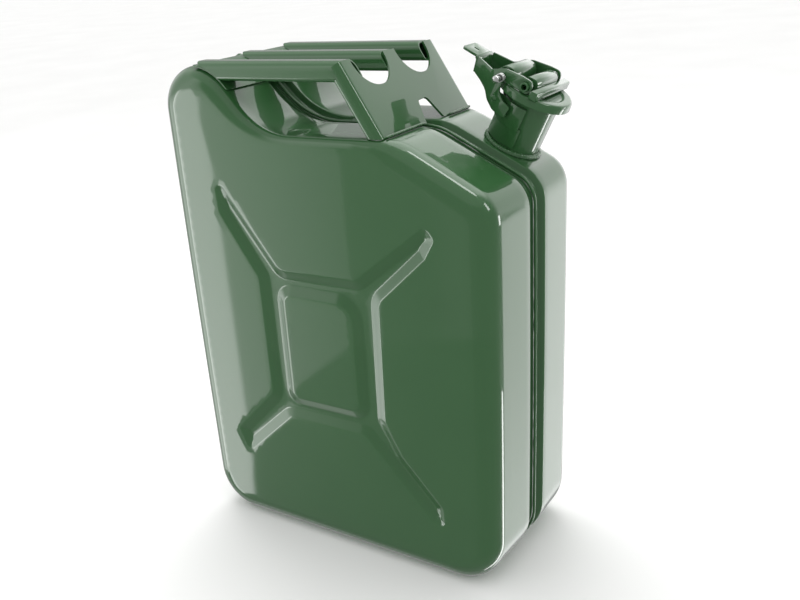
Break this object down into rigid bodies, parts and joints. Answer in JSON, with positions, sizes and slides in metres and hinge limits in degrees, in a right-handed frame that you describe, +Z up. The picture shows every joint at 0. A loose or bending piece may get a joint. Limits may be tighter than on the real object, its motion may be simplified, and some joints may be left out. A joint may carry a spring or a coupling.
{
  "type": "metal fuel can",
  "caption": "Pressed steel fuel can with a bar handle over a recess and a lever-locked hinged cap on a slanting neck.",
  "frame": {"origin": "on the ground under the middle of the whole can's box", "axes": "+X along the broad face towards the neck, +Y from the front half to the rear half that carries the neck, +Z up"},
  "size_m": [0.3524, 0.165, 0.4715],
  "materials": {
    "green_paint": "high gloss green paint on steel",
    "zinc": "bright zinc plating",
    "rubber": "matt black rubber"
  },
  "bodies": {
    "can": {"front_half_shell": "green_paint", "rear_half_shell": "green_paint", "seam_weld_bead": "green_paint", "handle_front_plate": "green_paint", "handle_rear_plate": "green_paint", "near_handle_bar": "green_paint", "middle_handle_bar": "green_paint", "far_handle_bar": "green_paint", "near_foot_weld": "green_paint", "far_foot_weld": "green_paint", "neck_tube": "green_paint", "neck_base_weld": "green_paint", "breather_tube": "zinc", "hinge_bracket": "green_paint", "near_hinge_rivet": "green_paint", "far_hinge_rivet": "green_paint"},
    "closure": {"lever": "green_paint", "cross_pin": "green_paint", "cap_bridge": "green_paint", "cap": "green_paint", "gasket": "rubber", "gasket_retainer": "zinc", "cap_rivet": "zinc", "locking_pin_spring": "zinc"},
    "locking_pin": {"locking_pin": "zinc"}
  },
  "joints": [
    {"name": "closure_hinge", "type": "hinge", "parent": "can", "child": "closure", "pos_m": [0.12121, 0.043, 0.43001], "axis": [0, -1, 0], "range_deg": [0, 60]},
    {"name": "locking_pin_slide", "type": "slide", "parent": "closure", "child": "locking_pin", "axis": [0, 1, 0], "range_m": [0, 0.002], "stiffness_N_per_m": 300}
  ]
}
